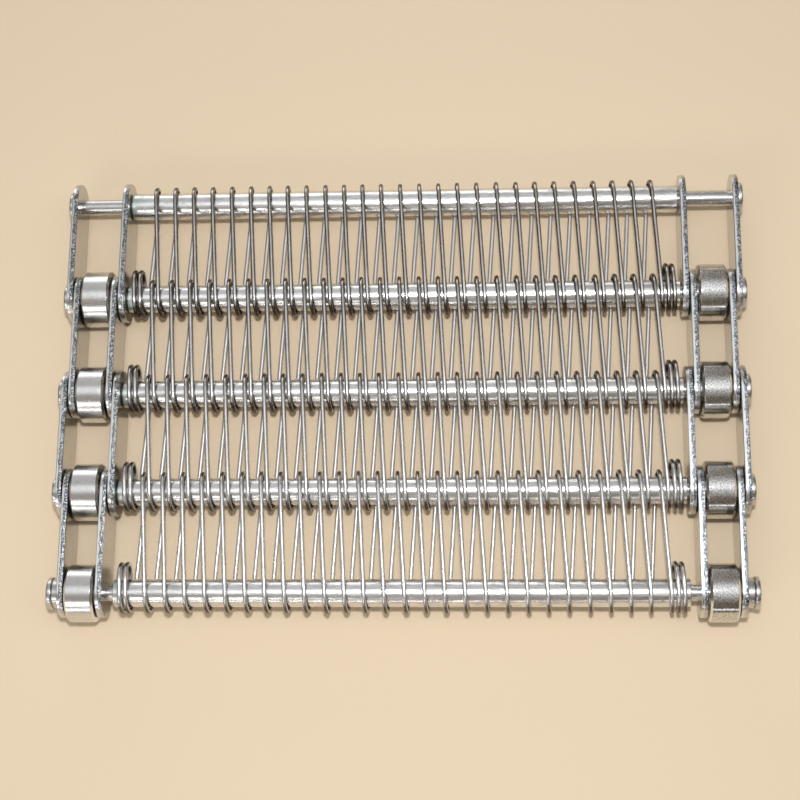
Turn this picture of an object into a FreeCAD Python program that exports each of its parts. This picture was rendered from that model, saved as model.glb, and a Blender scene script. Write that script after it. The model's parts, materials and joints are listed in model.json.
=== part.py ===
import FreeCAD, Part
import math
import os

# A section of chain-edge wire mesh conveyor belt.
# X runs across the belt, Y along its travel and Z up; row 1 is the far cross rod, at the +Y end.
# Every size is in millimetres.

# Driving dimensions of the chain
ROWS = 5
PITCH = 50.8
ROLLER_DIAMETER = 28.58
ROLLER_LENGTH = 14.2
ROLLER_CHAMFER = 1.0
PLATE_HEIGHT = 24.1
PLATE_THICKNESS = 3.25
ROD_DIAMETER = 7.92
BUSHING_WALL = 1.6
END_WASHER_DIAMETER = 15.8
END_WASHER_THICKNESS = 2.6
END_WASHER_CHAMFER = 0.5
TAIL_SPACER_DIAMETER = 14.8
ROD_PROUD = 0.7

# Driving dimensions of the mesh
TUBE_LENGTH = 282.0
TUBE_DIAMETER = 13.7
WIRE_DIAMETER = 2.2
SPIRAL_PITCH = 9.85
SPIRAL_SLACK = 0.85
LOOP_PITCH = 2.9
LOOP_LENGTH = 7.0
END_LOOPS = 2
SPIRAL_END_MARGIN = 1.0

# Clearances
PRESSED_CLEARANCE = 0.02
BUSHING_CLEARANCE = 0.09
ROLLER_CLEARANCE = 0.15
ROLLER_SIDE_PLAY = 0.84
TUBE_CLEARANCE = 0.3
SPIRAL_SEAT = 0.3
TUBE_END_PLAY = 0.6
LINK_PLAY = 0.4
WASHER_PLAY = 0.1

# The wire is drawn with six sides, and each half-turn bend as a chain of short chords.
WIRE_SIDES = 6
BEND_CORNERS = 5

SIDES = (("left", -1), ("right", 1))

# Stations across one edge of the belt, measured outwards from the belt's centre line
TUBE_END = TUBE_LENGTH / 2
OUTER_INBOARD = TUBE_END + TUBE_END_PLAY
INNER_INBOARD = OUTER_INBOARD + PLATE_THICKNESS + LINK_PLAY
ROLLER_BAY = INNER_INBOARD + PLATE_THICKNESS
INNER_WIDTH = ROLLER_LENGTH + 2 * ROLLER_SIDE_PLAY
INNER_OUTBOARD = ROLLER_BAY + INNER_WIDTH
OUTER_OUTBOARD = INNER_OUTBOARD + PLATE_THICKNESS + LINK_PLAY
END_WASHER = OUTER_OUTBOARD + PLATE_THICKNESS + WASHER_PLAY
ROD_END = END_WASHER + END_WASHER_THICKNESS + ROD_PROUD

# Diameters that follow from the rod and the tube
PRESSED_BORE = ROD_DIAMETER + 2 * PRESSED_CLEARANCE
BUSHING_BORE = ROD_DIAMETER + 2 * BUSHING_CLEARANCE
BUSHING_DIAMETER = BUSHING_BORE + 2 * BUSHING_WALL
ROLLER_BORE = BUSHING_DIAMETER + 2 * ROLLER_CLEARANCE
TUBE_BORE = ROD_DIAMETER + 2 * TUBE_CLEARANCE
BEND_RADIUS = TUBE_DIAMETER / 2 + SPIRAL_SEAT + WIRE_DIAMETER / 2
BEND_STEP = math.pi / BEND_CORNERS
BEND_REACH = BEND_RADIUS / math.cos(BEND_STEP / 2)

# The rollers stand on the ground plane, and the origin is under the middle of the section.
ROD_HEIGHT = max(ROLLER_DIAMETER, PLATE_HEIGHT) / 2
FAR_REACH = max(PLATE_HEIGHT / 2, BEND_REACH + WIRE_DIAMETER / 2 + SPIRAL_SLACK)
NEAR_REACH = max(ROLLER_DIAMETER / 2, FAR_REACH)
FIRST_ROW_Y = ((ROWS - 1) * PITCH + NEAR_REACH - FAR_REACH) / 2


def row_y(row):
    """Place of a cross rod along the belt."""
    return FIRST_ROW_Y - (row - 1) * PITCH


def round_bar(diameter, start, end, row):
    """A solid cylinder along a cross rod's axis."""
    base = FreeCAD.Vector(min(start, end), row_y(row), ROD_HEIGHT)
    return Part.makeCylinder(diameter / 2, abs(end - start), base, FreeCAD.Vector(1, 0, 0))


def ring(diameter, bore, start, end, row):
    """A cylinder with a hole through it, along a cross rod's axis."""
    return round_bar(diameter, start, end, row).cut(round_bar(bore, start, end, row))


def chamfered_bar(diameter, start, end, chamfer, row):
    """A solid cylinder along a cross rod's axis, turned with a chamfer at both ends."""
    low, high = sorted((start, end))
    radius = diameter / 2
    profile = [
        (low, 0),
        (low, radius - chamfer),
        (low + chamfer, radius),
        (high - chamfer, radius),
        (high, radius - chamfer),
        (high, 0),
        (low, 0),
    ]
    axis = FreeCAD.Vector(0, row_y(row), ROD_HEIGHT)
    outline = Part.makePolygon([axis + FreeCAD.Vector(x, 0, r) for x, r in profile])
    return Part.Face(outline).revolve(axis, FreeCAD.Vector(1, 0, 0), 360)


def rod(row):
    """Cross rod through both chains, with its two ends dressed after riveting."""
    return chamfered_bar(ROD_DIAMETER, -ROD_END, ROD_END, ROD_PROUD, row)


def end_washer(row, sign):
    """The washer riveted on one end of a cross rod."""
    start = sign * END_WASHER
    end = sign * (END_WASHER + END_WASHER_THICKNESS)
    disc = chamfered_bar(END_WASHER_DIAMETER, start, end, END_WASHER_CHAMFER, row)
    return disc.cut(round_bar(PRESSED_BORE, start, end, row))


def tail_spacer(sign):
    """Plain ring that fills the outer plate's place at one end of the last rod."""
    start = sign * OUTER_OUTBOARD
    end = sign * (OUTER_OUTBOARD + PLATE_THICKNESS)
    return ring(TAIL_SPACER_DIAMETER, PRESSED_BORE, start, end, ROWS)


def spacer_tube(row):
    """Tube that turns on a cross rod and carries the wire spirals."""
    return ring(TUBE_DIAMETER, TUBE_BORE, -TUBE_END, TUBE_END, row)


def link_plate(station, sign, far_row, hole_diameter):
    """Straight-sided chain plate with round ends over two neighbouring rows."""
    x = min(sign * station, sign * (station + PLATE_THICKNESS))
    radius = PLATE_HEIGHT / 2
    far = row_y(far_row)
    near = row_y(far_row + 1)

    def point(y, height):
        return FreeCAD.Vector(x, y, ROD_HEIGHT + height)

    outline = Part.Wire([
        Part.LineSegment(point(near, radius), point(far, radius)).toShape(),
        Part.Arc(point(far, radius), point(far + radius, 0), point(far, -radius)).toShape(),
        Part.LineSegment(point(far, -radius), point(near, -radius)).toShape(),
        Part.Arc(point(near, -radius), point(near - radius, 0), point(near, radius)).toShape(),
    ])
    plate = Part.Face(outline).extrude(FreeCAD.Vector(PLATE_THICKNESS, 0, 0))
    for row in (far_row, far_row + 1):
        plate = plate.cut(round_bar(hole_diameter, x, x + PLATE_THICKNESS, row))
    return plate


def bushing(row, sign):
    """Bushing pressed in the two inner plates, flush with their outer faces."""
    start = sign * INNER_INBOARD
    end = sign * (INNER_OUTBOARD + PLATE_THICKNESS)
    return ring(BUSHING_DIAMETER, BUSHING_BORE, start, end, row)


def roller(row, sign):
    """Large carrying roller, centred between the inner plates."""
    middle = ROLLER_BAY + INNER_WIDTH / 2
    start = sign * (middle - ROLLER_LENGTH / 2)
    end = sign * (middle + ROLLER_LENGTH / 2)
    blank = chamfered_bar(ROLLER_DIAMETER, start, end, ROLLER_CHAMFER, row)
    return blank.cut(round_bar(ROLLER_BORE, start, end, row))


def bend(centre, way):
    """Corners of a half-turn bend, as (y, z) from its bottom to its top, with chords that touch its circle.

    way is 1 for a bend that bulges to the far end and -1 for one that bulges to the near end.
    """
    angles = [(i + 0.5) * BEND_STEP - math.pi / 2 for i in range(BEND_CORNERS)]
    return [(centre + way * BEND_REACH * math.cos(a), BEND_REACH * math.sin(a)) for a in angles]


def lay_of(turn, pitch):
    """How far the wire moves across the belt for each millimetre of its length."""
    return pitch / sum(math.dist(turn[i - 1], turn[i]) for i in range(len(turn)))


def spiral_route():
    """Corner points of one spiral's wire: two end loops, the long turns, and two end loops again.

    A far bend climbs from the lower strand to the upper one, and a near bend goes down again.
    """
    near = -PITCH / 2 - SPIRAL_SLACK
    far = PITCH / 2 + SPIRAL_SLACK
    near_bend = bend(near, -1)[::-1]
    turn = bend(far, 1) + near_bend
    loop = bend(near + LOOP_LENGTH, 1) + near_bend
    end_loops = (loop * END_LOOPS, lay_of(loop, LOOP_PITCH))

    def route(turns):
        long_turns = (turn * turns, lay_of(turn, SPIRAL_PITCH))
        x = 0
        points = []
        for corners, lay in (end_loops, long_turns, end_loops):
            for y, z in corners:
                if points:
                    x += lay * math.dist((y, z), (points[-1].y, points[-1].z))
                points.append(FreeCAD.Vector(x, y, z))
        return points

    room = TUBE_LENGTH - WIRE_DIAMETER - 2 * SPIRAL_END_MARGIN
    spare = room - route(1)[-1].x
    points = route(1 + math.floor(spare / SPIRAL_PITCH))
    middle = points[-1].x / 2
    return [FreeCAD.Vector(p.x - middle, p.y, p.z) for p in points]


def wire_spiral():
    """One flattened spiral of wire about the middle of its pitch."""
    route = spiral_route()
    along = (route[1] - route[0]).normalize()
    across = FreeCAD.Vector(1, 0, 0).cross(along).normalize()
    up = along.cross(across)
    corners = []
    for i in range(WIRE_SIDES + 1):
        angle = 2 * math.pi * i / WIRE_SIDES
        offset = across * math.cos(angle) + up * math.sin(angle)
        corners.append(route[0] + offset * (WIRE_DIAMETER / 2))
    section = Part.makePolygon(corners)
    sharp_corners = 1
    return Part.makePolygon(route).makePipeShell([section], True, False, sharp_corners)


def chain_nodes():
    """Plates, bushings and rollers of both chains, by node name."""
    nodes = {}
    for pitch_row in range(1, ROWS):
        is_outer = pitch_row % 2 == 1
        kind = "outer" if is_outer else "inner"
        stations = (OUTER_OUTBOARD, OUTER_INBOARD) if is_outer else (INNER_OUTBOARD, INNER_INBOARD)
        hole = PRESSED_BORE if is_outer else BUSHING_DIAMETER + 2 * PRESSED_CLEARANCE
        for side, sign in SIDES:
            for place, station in zip(("outboard", "inboard"), stations):
                name = f"{kind}_link_{pitch_row}_{side}_{place}_plate"
                nodes[name] = link_plate(station, sign, pitch_row, hole)
    for row in range(2, ROWS + 1):
        for side, sign in SIDES:
            nodes[f"bushing_{row}_{side}"] = bushing(row, sign)
            nodes[f"roller_{row}_{side}"] = roller(row, sign)
    return nodes


def cross_rod_nodes():
    """Rods, their washers and their spacer tubes, by node name."""
    nodes = {}
    for row in range(1, ROWS + 1):
        nodes[f"rod_{row}"] = rod(row)
        nodes[f"spacer_tube_{row}"] = spacer_tube(row)
        for side, sign in SIDES:
            nodes[f"end_washer_{row}_{side}"] = end_washer(row, sign)
    for side, sign in SIDES:
        nodes[f"tail_spacer_{side}"] = tail_spacer(sign)
    return nodes


def mesh_nodes():
    """One wire spiral for each pitch, all alike, by node name."""
    nodes = {}
    spiral = wire_spiral()
    for pitch_row in range(1, ROWS):
        middle = (row_y(pitch_row) + row_y(pitch_row + 1)) / 2
        nodes[f"wire_spiral_{pitch_row}"] = spiral.translated(FreeCAD.Vector(0, middle, ROD_HEIGHT))
    return nodes


os.makedirs("parts", exist_ok=True)
for node, shape in {**cross_rod_nodes(), **chain_nodes(), **mesh_nodes()}.items():
    shape.exportStep(f"parts/{node}.step")
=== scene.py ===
import json
import math
import random

import bpy
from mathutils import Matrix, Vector

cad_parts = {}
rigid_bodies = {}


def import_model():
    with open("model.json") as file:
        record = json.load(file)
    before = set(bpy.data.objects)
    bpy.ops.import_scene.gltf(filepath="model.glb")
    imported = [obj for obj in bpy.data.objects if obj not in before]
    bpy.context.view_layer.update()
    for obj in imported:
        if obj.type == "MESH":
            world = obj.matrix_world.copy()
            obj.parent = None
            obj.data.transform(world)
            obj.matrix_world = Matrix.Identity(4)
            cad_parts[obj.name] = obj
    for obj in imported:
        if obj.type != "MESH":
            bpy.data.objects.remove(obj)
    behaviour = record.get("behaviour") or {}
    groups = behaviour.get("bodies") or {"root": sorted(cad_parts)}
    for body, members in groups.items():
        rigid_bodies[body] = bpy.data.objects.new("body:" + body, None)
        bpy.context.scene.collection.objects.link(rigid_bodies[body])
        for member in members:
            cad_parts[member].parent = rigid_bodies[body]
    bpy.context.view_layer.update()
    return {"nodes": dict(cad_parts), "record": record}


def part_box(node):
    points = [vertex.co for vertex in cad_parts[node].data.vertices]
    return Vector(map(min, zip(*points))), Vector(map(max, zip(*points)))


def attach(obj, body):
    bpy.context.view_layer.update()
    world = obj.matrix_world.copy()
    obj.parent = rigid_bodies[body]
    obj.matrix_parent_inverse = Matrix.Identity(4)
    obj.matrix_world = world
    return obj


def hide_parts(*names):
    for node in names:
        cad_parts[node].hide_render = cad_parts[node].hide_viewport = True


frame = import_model()
SLOTS = {part["node"]: part["material_slot"] for part in frame["record"]["subparts"]}

# A section of chain-edge wire mesh conveyor belt, in metres. X runs across the belt,
# Y along it to row 1 at the far end, and Z up from the floor that its rollers stand on.
MM = 0.001
ROWS = range(1, 6)
SIDES = ("left", "right")

# The wire of the mesh: long turns round two neighbouring tubes, and short loops at both ends
WIRE_DIAMETER = 2.2 * MM
SPIRAL_PITCH = 9.85 * MM
SPIRAL_SLACK = 0.85 * MM
SPIRAL_END_MARGIN = 1.0 * MM
LOOP_PITCH = 2.9 * MM
LOOP_LENGTH = 7.0 * MM
END_LOOPS = 2
WIRE_SIDES = 12
BEND_RINGS = 12
STRAND_RINGS = 3

# How uneven the wire is: neighbours drift together, as (distance, waves across the belt),
# each bend stands a little aside and in or out by itself, and the strands bow inwards
WIRE_DRIFT = ((0.45 * MM, 1.5), (0.15 * MM, 6.3))
WIRE_SHIFT = 0.03 * MM
WIRE_REACH = 0.1 * MM
WIRE_BOW = 0.2 * MM

# Turned pieces: their bores, chamfers and broken edges
TURNED_SIDES = 96
TUBE_BORE = 8.52 * MM
TUBE_EDGE = 0.4 * MM
ROD_CHAMFER = 0.7 * MM
ROD_ROUNDING = 0.3 * ROD_CHAMFER
PRESSED_BORE = 7.96 * MM
WASHER_EDGE = 0.8 * MM
SPACER_EDGE = 0.4 * MM
ROLLER_BORE = 11.6 * MM
ROLLER_CHAMFER = 1.0 * MM
ROLLER_EDGE = 0.3 * MM
FILLET_STEPS = 4
FILLET_SHARE = 0.4

# Broken edges of the link plates, with the angles of flat and of sharp edges in degrees
PLATE_EDGE = 0.45 * MM
PLATE_EDGE_STEPS = 3
PLATE_WELD = 0.002 * MM
FLAT_ANGLE = 0.5
SHARP_ANGLE = 40

# Colours of the finishes and of the floor
BRIGHT_STEEL = (0.80, 0.80, 0.80)
DULL_STEEL = (0.45, 0.45, 0.45)
GREEN_STAIN = (0.40, 0.53, 0.48)
# Brown for the wire's painted shade on its flanks, left side and bends, and for its dull patches and drawn
# lines
BROWN_PAINTED_SHADE_AND_DULLING = (0.13, 0.10, 0.08)
SHEARED_EDGE = (0.78, 0.78, 0.78)
TORN_EDGE = (0.09, 0.105, 0.13)
WARM_PLATING = (0.80, 0.75, 0.64)
COOL_PLATING = (0.66, 0.76, 0.73)
# Rolled faces painted darker and warmer than the edges, a painted reflection of shaded floor
ROLLED_FACE_WITH_PAINTED_REFLECTION = (0.64, 0.62, 0.59)
ROLLED_LINES = (0.56, 0.54, 0.51)
ROLLER_PLATING = (0.84, 0.84, 0.84)
ROLLER_SPECKS = (0.36, 0.35, 0.33)
ROD_PLATING = (0.70, 0.70, 0.70)
ROD_PATCHES = (0.38, 0.38, 0.37)
GROUND_STEEL = (0.62, 0.62, 0.61)
GROUND_LINES = (0.40, 0.40, 0.39)
PALE_FLOOR = (0.83, 0.68, 0.50)
FLOOR_MOTTLE = (0.79, 0.64, 0.46)
EVEN_FLOOR = (0.75, 0.605, 0.44)

# Where the looks change: along a tube from its stained left end, from the near to the far rows,
# from lower to upper strands, from the left to the right rollers, and on the floor away from the belt
STAIN_LENGTH = 12 * MM
NEAR_TO_FAR = (-0.1, 0.1)
LOWER_TO_UPPER = (0.009, 0.015)
LEFT_TO_RIGHT = (-0.02, 0.02)
FLOOR_FADE = (0.2, 0.8)

# The studio: its floor, its light from dim and warm to bright and cool, and where the lamps aim
FLOOR_SIZE = 30.0
STUDIO_STRENGTH = 2.0
STUDIO_TONES = (
    (0.0, (0.0, 0.0, 0.0)),
    (0.12, (0.135, 0.115, 0.09)),
    (0.3, (0.3, 0.3, 0.3)),
    (1.0, (0.95, 0.99, 1.0)),
)
BELT_MIDDLE = (0.0, 0.0, 0.0)
BELT_LEFT = (-0.15, 0.0, 0.0)
BELT_RIGHT = (0.15, 0.0, 0.0)

# The photograph's view, with the camera's turn in degrees and its lens in millimetres
CAMERA_PLACE = (0.0534, -0.2109, 0.8218)
CAMERA_TURN = (14.44, 3.70, 0.47)
CAMERA_LENS = 74.6


class Field:
    """A shader socket that takes part in plain arithmetic."""

    def __init__(self, sheet, socket):
        self.sheet = sheet
        self.socket = socket

    def maths(self, operation, first, second=0.0):
        return self.sheet.node("ShaderNodeMath", {"operation": operation}, {0: first, 1: second})

    def __add__(self, other):
        return self.maths("ADD", self, other)

    def __radd__(self, other):
        return self.maths("ADD", other, self)

    def __sub__(self, other):
        return self.maths("SUBTRACT", self, other)

    def __rsub__(self, other):
        return self.maths("SUBTRACT", other, self)

    def __mul__(self, other):
        return self.maths("MULTIPLY", self, other)

    def __rmul__(self, other):
        return self.maths("MULTIPLY", other, self)

    def __abs__(self):
        return self.maths("ABSOLUTE", self)

    def step(self, low, high):
        """A smooth rise from 0 at low to 1 at high."""
        return self.sheet.node(
            "ShaderNodeMapRange",
            {"interpolation_type": "SMOOTHSTEP"},
            {"Value": self, "From Min": low, "From Max": high},
        )


class Sheet:
    """The node sheet of one finish, or of the world."""

    # Where a Mix node takes and gives its colours
    COLOUR_A = 6
    COLOUR_B = 7
    COLOUR_RESULT = 2

    def __init__(self, tree):
        self.tree = tree
        tree.nodes.clear()

    def node(self, kind, settings=(), sockets=(), out=0):
        """Adds a node, with its settings first and then the values or links of its sockets."""
        made = self.tree.nodes.new(kind)
        for name, value in dict(settings).items():
            if name == "stops":
                self.set_stops(made.color_ramp, value)
            else:
                setattr(made, name, value)
        for name, value in dict(sockets).items():
            if isinstance(value, Field):
                self.tree.links.new(value.socket, made.inputs[name])
            else:
                made.inputs[name].default_value = value
        return Field(self, made.outputs[out]) if made.outputs else made

    def set_stops(self, ramp, stops):
        """Lays out the stops of a ramp, as (place, colour)."""
        for spare in list(ramp.elements)[1:]:
            ramp.elements.remove(spare)
        for place, colour in stops[1:]:
            ramp.elements.new(place).color = (*colour, 1)
        ramp.elements[0].position = stops[0][0]
        ramp.elements[0].color = (*stops[0][1], 1)

    def place(self, output="Object"):
        """A place on the surface, or with Normal the way that the surface faces there."""
        return self.node("ShaderNodeTexCoord", out=output)

    def part(self, vector, axis):
        """The X, Y or Z of a vector."""
        return self.node("ShaderNodeSeparateXYZ", sockets={0: vector}, out=axis)

    def noise(self, vector, scale, detail=2.0, roughness=0.5):
        """Cloudy noise between 0 and 1, with about as many clouds to a metre as its scale."""
        sockets = {"Vector": vector, "Scale": scale, "Detail": detail, "Roughness": roughness}
        return self.node("ShaderNodeTexNoise", {}, sockets)

    def stretched_noise(self, vector, scales, detail=2.0, roughness=0.5):
        """Noise with a scale of its own along X, Y and Z."""
        stretched = self.node("ShaderNodeVectorMath", {"operation": "MULTIPLY"}, {0: vector, 1: scales})
        return self.noise(stretched, 1.0, detail, roughness)

    def mixed(self, mask, first, second):
        """Colour first where the mask is 0 and second where it is 1."""
        ends = [end if isinstance(end, Field) else (*end, 1) for end in (first, second)]
        sockets = {0: mask, self.COLOUR_A: ends[0], self.COLOUR_B: ends[1]}
        return self.node("ShaderNodeMix", {"data_type": "RGBA"}, sockets, self.COLOUR_RESULT)

    def bump(self, height, depth, below=None):
        """A surface that rises by depth where the height is 1, over the bumps below it."""
        sockets = {"Height": height, "Distance": depth, "Strength": 1.0}
        if below is not None:
            sockets["Normal"] = below
        return self.node("ShaderNodeBump", {}, sockets)

    def metal(self, colour, roughness, normal, bare=1.0):
        """A steel surface, less metallic where it isn't bare."""
        sockets = {"Base Color": colour, "Roughness": roughness, "Normal": normal, "Metallic": bare}
        return self.node("ShaderNodeBsdfPrincipled", {}, sockets)


def new_material(name, finish):
    """A material with the shader that its finish lays out on a node sheet."""
    material = bpy.data.materials.new(name)
    material.use_nodes = True
    sheet = Sheet(material.node_tree)
    sheet.node("ShaderNodeOutputMaterial", {}, {"Surface": finish(sheet)})
    return material


def tube_finish(sheet):
    """Bright tube with lines drawn along it, streaky dents, a few dull patches and a stained left end."""
    place = sheet.place()
    lines = sheet.stretched_noise(place, (12, 1400, 1400), detail=3.0)
    streaks = sheet.stretched_noise(place, (170, 620, 620), detail=3.0, roughness=0.6)
    patches = sheet.stretched_noise(place, (70, 140, 140), detail=4.0, roughness=0.6).step(0.45, 0.75)
    dull = patches * 0.5 + streaks.step(0.45, 0.75) * 0.5
    left_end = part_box("spacer_tube_1")[0].x
    fading = 1 - sheet.part(place, "X").step(left_end, left_end + STAIN_LENGTH)
    stain = fading * sheet.noise(place, 260.0, detail=3.0).step(0.35, 0.6)
    colour = sheet.mixed(stain * 0.6, sheet.mixed(dull, BRIGHT_STEEL, DULL_STEEL), GREEN_STAIN)
    roughness = 0.12 + 0.10 * lines + 0.10 * patches + 0.10 * streaks + 0.15 * stain
    dents = sheet.bump(streaks, depth=0.11 * MM)
    normal = sheet.bump(lines, depth=0.004 * MM, below=dents)
    return sheet.metal(colour, roughness, normal)


def wire_finish(sheet):
    """Drawn wire, bright on top, with painted shade in brown at its bends and on its flanks.

    The far rows have more painted brown shade on the flanks of their upper strands, over dull lower
    strands, and the near rows a thin film.
    """
    place = sheet.place()
    facing = sheet.place("Normal")
    lines = sheet.stretched_noise(place, (1600, 60, 900))
    patches = sheet.noise(place, 160.0, detail=3.0, roughness=0.6)
    far = sheet.part(place, "Y").step(*NEAR_TO_FAR)
    upper = sheet.part(place, "Z").step(*LOWER_TO_UPPER)
    # Painted shade: flanks and undersides darker, and the left flank darker still as a painted shadow
    side = 1 - sheet.part(facing, "Z").step(0.3, 0.95)
    left = 1 - sheet.part(facing, "X").step(-0.75, -0.2)
    # The flank mask is painted shade of the sides and the left, plus the real drawn lines
    flank = side * 0.6 + left * 0.4 + lines.step(0.42, 0.6) * 0.3
    # Painted reflection of dark shade: the bends are turned brown
    bend = abs(sheet.part(facing, "Y")).step(0.35, 0.8)
    # Painted shade, strongest on the upper strands of the far rows, plus dull random patches
    brown = flank * (0.1 + 0.9 * far) * (0.2 + 0.8 * upper) + bend * 0.9 + patches * 0.2
    colour = sheet.mixed(brown, BRIGHT_STEEL, BROWN_PAINTED_SHADE_AND_DULLING)
    roughness = 0.16 + 0.12 * lines + 0.12 * patches + 0.25 * far * (1 - upper)
    normal = sheet.bump(lines, depth=0.012 * MM)
    bare = 1 - 0.25 * (1 - far) * (1 - bend)
    return sheet.metal(colour, roughness, normal, bare)


def plate_finish(sheet):
    """Plated link plate with rolled faces, painted darker and warmer as a painted reflection of shaded
    floor, and sheared edges: smooth on the left and torn on the right.
    """
    place = sheet.place()
    facing = sheet.place("Normal")
    edge = 1 - abs(sheet.part(facing, "X")).step(0.55, 0.85)
    end = abs(sheet.part(facing, "Y")).step(0.3, 0.9)
    through = sheet.part(sheet.place("Generated"), "X")
    grain = sheet.noise(place, 1500.0, detail=4.0, roughness=0.7)
    ragged = sheet.noise(place, 350.0)
    torn = edge * (1 - 0.7 * end) * (through + 0.6 * (ragged - 0.5)).step(0.36, 0.5)
    clouds = sheet.noise(place, 120.0, detail=4.0, roughness=0.6)
    tint = sheet.mixed(sheet.noise(place, 45.0).step(0.4, 0.6), WARM_PLATING, COOL_PLATING)
    tinted = sheet.noise(place, 75.0, detail=3.0).step(0.5, 0.66) * 0.6
    rim = sheet.mixed(tinted, SHEARED_EDGE, tint)
    rolled = sheet.stretched_noise(place, (1, 90, 2600), detail=3.0, roughness=0.6)
    # Painted reflection: the rolled faces and their lines are darker and warmer than the edges
    face = sheet.mixed(rolled.step(0.35, 0.7), ROLLED_FACE_WITH_PAINTED_REFLECTION, ROLLED_LINES)
    plating = sheet.mixed(edge, face, rim)
    colour = sheet.mixed(torn * (1 - grain.step(0.48, 0.6)) + clouds * 0.2, plating, TORN_EDGE)
    roughness = 0.10 + 0.12 * clouds + 0.10 * rolled + torn * 0.10
    ripples = sheet.bump(sheet.noise(place, 90.0, detail=1.0), depth=0.06 * MM)
    soft = sheet.bump(rolled, depth=0.006 * MM, below=ripples)
    normal = sheet.bump(grain * (torn * 0.9 + edge * 0.1), depth=0.18 * MM, below=soft)
    return sheet.metal(colour, roughness, normal)


def roller_finish(sheet):
    """Plated roller: a grainy tread with fine turned lines, smoother ends, and more specks on the right."""
    place = sheet.place()
    right = sheet.part(place, "X").step(*LEFT_TO_RIGHT)
    end = abs(sheet.part(sheet.place("Normal"), "X")).step(0.4, 0.8)
    grain = sheet.noise(place, 1300.0, detail=3.0, roughness=0.6)
    turned = sheet.stretched_noise(place, (2600, 40, 40))
    clouds = sheet.noise(place, 180.0, detail=4.0, roughness=0.6)
    specks = grain.step(0.42, 0.62) * (0.12 + 0.45 * right)
    colour = sheet.mixed((clouds * 0.4 + specks) * (1 - end), ROLLER_PLATING, ROLLER_SPECKS)
    roughness = (0.12 + 0.12 * clouds + 0.06 * turned) * (1 - 0.3 * right)
    rough = sheet.bump(grain * (1 - 0.85 * end) * (0.35 - 0.2 * right), depth=0.13 * MM)
    normal = sheet.bump(turned, depth=0.006 * MM, below=rough)
    return sheet.metal(colour, roughness, normal)


def rod_finish(sheet):
    """Plated bar, washers and spacer rings: satin, with small dents and dull patches."""
    place = sheet.place()
    dents = sheet.noise(place, 420.0)
    clouds = sheet.noise(place, 230.0, detail=4.0, roughness=0.6)
    colour = sheet.mixed(clouds * 0.6, ROD_PLATING, ROD_PATCHES)
    roughness = 0.18 + 0.16 * clouds
    normal = sheet.bump(dents, depth=0.05 * MM)
    return sheet.metal(colour, roughness, normal)


def bushing_finish(sheet):
    """Ground steel, a little darker than the plated pieces."""
    place = sheet.place()
    turned = sheet.stretched_noise(place, (2200, 50, 50))
    colour = sheet.mixed(turned, GROUND_STEEL, GROUND_LINES)
    roughness = 0.22 + 0.12 * turned
    normal = sheet.bump(turned, depth=0.008 * MM)
    return sheet.metal(colour, roughness, normal)


def floor_finish(sheet):
    """A faintly mottled floor that takes the belt's shadow, and is one even colour away from the belt."""
    place = sheet.place()
    colour = sheet.mixed(sheet.noise(place, 900.0, detail=3.0), PALE_FLOOR, FLOOR_MOTTLE)
    lit = sheet.node("ShaderNodeBsdfPrincipled", {}, {"Base Color": colour, "Roughness": 0.9})
    even = sheet.node("ShaderNodeEmission", {}, {"Color": (*EVEN_FLOOR, 1), "Strength": 1.0})
    kinds = ("Is Camera Ray", "Is Glossy Ray", "Is Transmission Ray")
    seen, mirrored, seen_through = [sheet.node("ShaderNodeLightPath", out=kind) for kind in kinds]
    distance = sheet.node("ShaderNodeVectorMath", {"operation": "LENGTH"}, {0: place}, "Value")
    away = distance.step(*FLOOR_FADE) * (seen + mirrored + seen_through)
    return sheet.node("ShaderNodeMixShader", {}, {0: away, 1: lit, 2: even})


STEEL_FINISHES = {
    "polished_tube": tube_finish,
    "bright_wire": wire_finish,
    "plated_plate": plate_finish,
    "turned_roller_steel": roller_finish,
    "rod_steel": rod_finish,
    "bushing_steel": bushing_finish,
}
MATERIALS = {slot: new_material(slot, finish) for slot, finish in STEEL_FINISHES.items()}


def new_piece(name, points, faces, node):
    """A smooth mesh piece that stands for a node of the frame and rides on that node's body."""
    mesh = bpy.data.meshes.new(name)
    mesh.from_pydata(points, [], faces)
    mesh.shade_smooth()
    mesh.materials.append(MATERIALS[SLOTS[node]])
    piece = bpy.data.objects.new(name, mesh)
    bpy.context.scene.collection.objects.link(piece)
    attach(piece, frame["nodes"][node].parent.name.removeprefix("body:"))
    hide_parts(node)
    return piece


def filleted(outline, radius):
    """The closed outline with each of its corners rounded, as far as its sides allow."""
    rounded = []
    for i, corner in enumerate(outline):
        here = Vector(corner)
        back = Vector(outline[i - 1]) - here
        ahead = Vector(outline[(i + 1) % len(outline)]) - here
        room = FILLET_SHARE * min(back.length, ahead.length)
        reach = min(radius / math.tan(back.angle(ahead) / 2), room)
        start = here + back.normalized() * reach
        end = here + ahead.normalized() * reach
        for k in range(FILLET_STEPS + 1):
            t = k / FILLET_STEPS
            rounded.append(start * (1 - t) ** 2 + here * 2 * t * (1 - t) + end * t ** 2)
    return rounded


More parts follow.
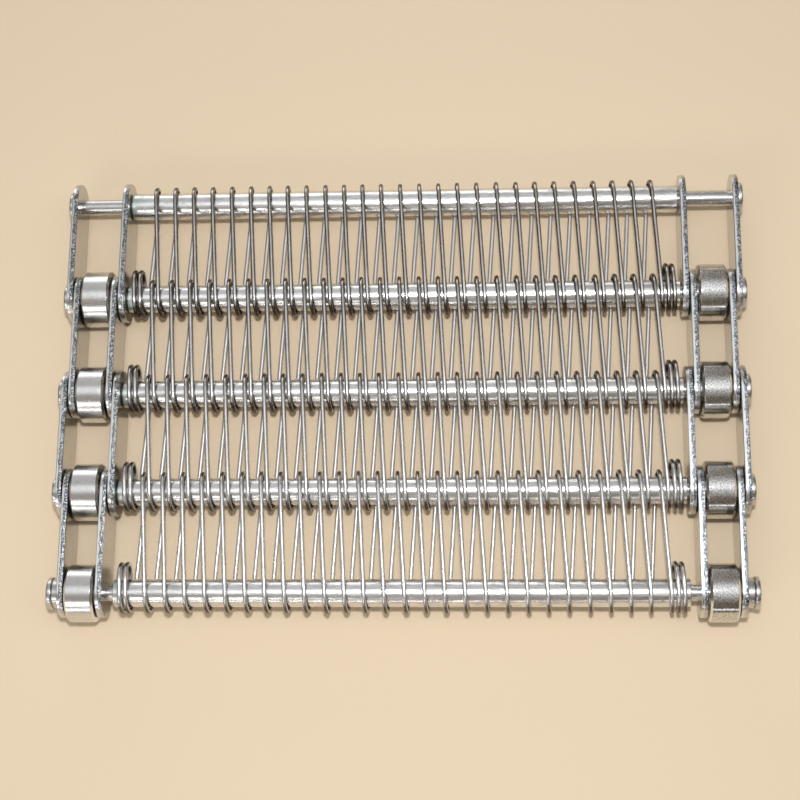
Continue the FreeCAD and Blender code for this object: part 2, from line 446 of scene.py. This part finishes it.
def turned_piece(node, profile, closed):
    """A profile of (x, radius) turned about a node's axis: a ring where it is closed, or else a bar."""
    low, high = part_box(node)
    axis = (low + high) / 2
    count = len(profile)
    spans = count if closed else count - 1
    points = []
    faces = []
    for k in range(TURNED_SIDES):
        angle = 2 * math.pi * k / TURNED_SIDES
        points += [(x, axis.y + r * math.cos(angle), axis.z + r * math.sin(angle)) for x, r in profile]
        here = k * count
        after = (k + 1) % TURNED_SIDES * count
        for i in range(spans):
            j = (i + 1) % count
            faces.append((here + i, after + i, after + j, here + j))
    if not closed:
        faces.append(tuple(k * count for k in reversed(range(TURNED_SIDES))))
        faces.append(tuple(k * count + count - 1 for k in range(TURNED_SIDES)))
    piece = new_piece(f"turned_{node}", points, faces, node)
    piece.modifiers.new("even shading", "WEIGHTED_NORMAL")


def turned_ring(node, bore, edge, chamfer=0):
    """A ring over the whole length and diameter of a round node, with its edges broken."""
    low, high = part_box(node)
    radius = (high.z - low.z) / 2
    outline = [(low.x, bore / 2), (low.x, radius - chamfer)]
    if chamfer:
        outline += [(low.x + chamfer, radius), (high.x - chamfer, radius)]
    outline += [(high.x, radius - chamfer), (high.x, bore / 2)]
    turned_piece(node, filleted(outline, edge), closed=True)


def turned_rod(node):
    """A round bar over the whole length of a rod's node, with rounded chamfers at its ends."""
    low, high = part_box(node)
    radius = (high.z - low.z) / 2
    steps = ((0, ROD_CHAMFER), (ROD_ROUNDING, ROD_ROUNDING), (ROD_CHAMFER, 0))
    profile = [(low.x + inset, radius - drop) for inset, drop in steps]
    profile += [(high.x - inset, radius - drop) for inset, drop in reversed(steps)]
    turned_piece(node, profile, closed=False)


def soften_edges(plate):
    """Breaks the sharp edges of a link plate."""
    weld = plate.modifiers.new("joined faces", "WELD")
    weld.merge_threshold = PLATE_WELD
    whole = plate.modifiers.new("whole faces", "DECIMATE")
    whole.decimate_type = "DISSOLVE"
    whole.angle_limit = math.radians(FLAT_ANGLE)
    edge = plate.modifiers.new("broken edges", "BEVEL")
    edge.limit_method = "ANGLE"
    edge.angle_limit = math.radians(SHARP_ANGLE)
    edge.width = PLATE_EDGE
    edge.segments = PLATE_EDGE_STEPS
    plate.modifiers.new("even shading", "WEIGHTED_NORMAL")


def bend_points(centre, axis_z, radius, way):
    """A half-turn bend of the wire, as (y, z, angle turned): up at the far rod and down at the near one."""
    points = []
    for k in range(BEND_RINGS + 1):
        angle = math.pi * k / BEND_RINGS
        y = centre + way * radius * math.sin(angle)
        z = axis_z - way * radius * math.cos(angle)
        points.append((y, z, angle))
    return points


def strand_points(start, end, axis_z, bow):
    """Points along a strand from one bend to the next, bowed towards the height of the rods."""
    points = []
    for k in range(1, STRAND_RINGS + 1):
        t = k / (STRAND_RINGS + 1)
        point = start.lerp(end, t)
        point.z -= math.copysign(4 * t * (1 - t) * bow, point.z - axis_z)
        points.append(point)
    return points


def wire_drift(x, length):
    """How far a bend at x stands aside together with its neighbours."""
    return sum(size * math.sin(waves * 2 * math.pi * x / length) for size, waves in WIRE_DRIFT)


def spiral_line(row, shake):
    """Centre line of a spiral's wire: end loops, long turns and end loops, a little uneven."""
    low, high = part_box(f"wire_spiral_{row}")
    tube_low, tube_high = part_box(f"spacer_tube_{row}")
    next_low, next_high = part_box(f"spacer_tube_{row + 1}")
    radius = (high.z - low.z - WIRE_DIAMETER) / 2
    axis_z = (low.z + high.z) / 2
    far = (tube_low.y + tube_high.y) / 2 + SPIRAL_SLACK
    near = (next_low.y + next_high.y) / 2 - SPIRAL_SLACK
    length = tube_high.x - tube_low.x
    room = length - WIRE_DIAMETER - 2 * SPIRAL_END_MARGIN - 2 * END_LOOPS * LOOP_PITCH
    loop_lay = LOOP_PITCH / (2 * math.pi * radius + 2 * LOOP_LENGTH)
    turn_lay = SPIRAL_PITCH / (2 * math.pi * radius + 2 * (far - near))
    loops = [(near + LOOP_LENGTH, 1, loop_lay), (near, -1, loop_lay)] * END_LOOPS
    turns = [(far, 1, turn_lay), (near, -1, turn_lay)] * math.floor(room / SPIRAL_PITCH)
    x = 0
    points = []
    for centre, way, lay in loops + turns + loops:
        arc = bend_points(centre, axis_z, radius, way)
        shift = shake.uniform(-WIRE_SHIFT, WIRE_SHIFT) + wire_drift(x, length)
        reach = shake.uniform(-WIRE_REACH, WIRE_REACH)
        bow = shake.uniform(0, WIRE_BOW)
        if points:
            start_y, start_z, _ = arc[0]
            x += lay * abs(start_y - points[-1].y)
            start = Vector((x + shift, start_y + reach, start_z))
            points += strand_points(points[-1], start, axis_z, bow)
        points += [Vector((x + shift + lay * radius * angle, y + reach, z)) for y, z, angle in arc]
        x += lay * radius * math.pi
    middle = Vector((x / 2, 0, 0))
    return [point - middle for point in points]


def wire_tube(line, radius):
    """Rings round a line, carried along it without twist, and closed at both ends."""
    points = []
    faces = []
    across = Vector((1, 0, 0))
    for i, centre in enumerate(line):
        along = (line[min(i + 1, len(line) - 1)] - line[max(i - 1, 0)]).normalized()
        across = (across - along * across.dot(along)).normalized()
        up = along.cross(across)
        for k in range(WIRE_SIDES):
            angle = 2 * math.pi * k / WIRE_SIDES
            points.append(centre + (across * math.cos(angle) + up * math.sin(angle)) * radius)
    last = (len(line) - 1) * WIRE_SIDES
    for here in range(0, last, WIRE_SIDES):
        after = here + WIRE_SIDES
        for k in range(WIRE_SIDES):
            beside = (k + 1) % WIRE_SIDES
            faces.append((here + k, here + beside, after + beside, after + k))
    faces.append(tuple(reversed(range(WIRE_SIDES))))
    faces.append(tuple(last + k for k in range(WIRE_SIDES)))
    return points, faces


def mesh_pieces():
    """The four wire spirals, round and a little uneven."""
    for row in ROWS[:-1]:
        line = spiral_line(row, random.Random(row))
        points, faces = wire_tube(line, WIRE_DIAMETER / 2)
        new_piece(f"round_wire_spiral_{row}", points, faces, f"wire_spiral_{row}")


def turned_pieces():
    """Tubes, rods, washers, spacer rings and rollers with broken edges."""
    for row in ROWS:
        turned_ring(f"spacer_tube_{row}", TUBE_BORE, TUBE_EDGE)
        turned_rod(f"rod_{row}")
        for side in SIDES:
            turned_ring(f"end_washer_{row}_{side}", PRESSED_BORE, WASHER_EDGE)
    for side in SIDES:
        turned_ring(f"tail_spacer_{side}", PRESSED_BORE, SPACER_EDGE)
        for row in ROWS[1:]:
            turned_ring(f"roller_{row}_{side}", ROLLER_BORE, ROLLER_EDGE, ROLLER_CHAMFER)


def dress_frame():
    """Gives each node of the frame its finish, and breaks the edges of the link plates."""
    for node, piece in frame["nodes"].items():
        piece.material_slots[0].material = MATERIALS[SLOTS[node]]
        if node.endswith("plate"):
            soften_edges(piece)


def floor():
    """A wide flat floor under the rollers."""
    half = FLOOR_SIZE / 2
    corners = [(-half, -half, 0), (half, -half, 0), (half, half, 0), (-half, half, 0)]
    mesh = bpy.data.meshes.new("floor")
    mesh.from_pydata(corners, [], [(0, 1, 2, 3)])
    mesh.materials.append(new_material("pale_floor", floor_finish))
    ground = bpy.data.objects.new("floor", mesh)
    bpy.context.scene.collection.objects.link(ground)


def studio_walls():
    """Dim warm walls under a light ceiling, which is broadest just right of the middle.

    The right wall is in shade, and a window breaks the shade towards the near end.
    """
    world = bpy.data.worlds.new("studio")
    world.use_nodes = True
    bpy.context.scene.world = world
    sheet = Sheet(world.node_tree)
    # Directions run from -1 at the left to 1 across the belt, and from -1 at the near end to 1 along it
    way = sheet.place("Generated")
    across = sheet.part(way, "X")
    along = sheet.part(way, "Y")
    right = across.step(0.03, 0.16)
    broad = right * (1 - across.step(0.2, 0.36))
    overhead = 1 - abs(along - 0.06).step(0.08, 0.36 + 0.45 * broad)
    ceiling = overhead * (1 - abs(across).step(0.72, 1.0))
    window = 1 - abs(along + 0.5).step(0.1, 0.24)
    shade = right * (0.95 - 0.57 * window)
    walls = (0.38 + 0.24 * along) * (1 - abs(across).step(0.2, 0.5)) * (1 - shade)
    level = 0.05 + 0.5 * walls + (0.36 + 0.26 * across) * ceiling
    colour = sheet.node("ShaderNodeValToRGB", {"stops": STUDIO_TONES}, {"Fac": level})
    light = sheet.node("ShaderNodeBackground", {}, {"Color": colour, "Strength": STUDIO_STRENGTH})
    sheet.node("ShaderNodeOutputWorld", {}, {"Surface": light})


def softbox(name, place, aim, size, power):
    """A soft rectangular lamp, with its power in watts."""
    lamp = bpy.data.lights.new(name, "AREA")
    lamp.shape = "RECTANGLE"
    lamp.size, lamp.size_y = size
    lamp.energy = power
    holder = bpy.data.objects.new(name, lamp)
    holder.location = place
    holder.rotation_euler = (Vector(aim) - Vector(place)).to_track_quat("-Z", "Y").to_euler()
    bpy.context.scene.collection.objects.link(holder)


def studio_lamps():
    """A small lamp by the camera, a panel beyond the far end, and strips at the near end on both sides."""
    softbox("camera_lamp", place=(0.06, -0.08, 0.9), aim=BELT_MIDDLE, size=(0.06, 0.06), power=4.2)
    softbox("far_panel", place=(-0.45, 1.6, 0.3), aim=BELT_LEFT, size=(1.4, 0.75), power=4.2)
    softbox("near_strip_high", place=(-0.8, -1.3, 1.0), aim=BELT_LEFT, size=(1.2, 0.34), power=4.2)
    softbox("near_strip_low", place=(-0.65, -1.3, 0.3), aim=BELT_LEFT, size=(1.5, 0.13), power=2.3)
    softbox("near_strip_right", place=(0.45, -1.3, 0.32), aim=BELT_RIGHT, size=(0.7, 0.09), power=0.4)


def camera_view():
    """The camera at the photograph's angle."""
    camera = bpy.data.objects.new("camera", bpy.data.cameras.new("camera"))
    camera.data.lens = CAMERA_LENS
    camera.location = CAMERA_PLACE
    camera.rotation_euler = [math.radians(angle) for angle in CAMERA_TURN]
    bpy.context.scene.collection.objects.link(camera)
    bpy.context.scene.camera = camera
    bpy.context.scene.view_settings.view_transform = "Standard"


dress_frame()
mesh_pieces()
turned_pieces()
floor()
studio_walls()
studio_lamps()
camera_view()
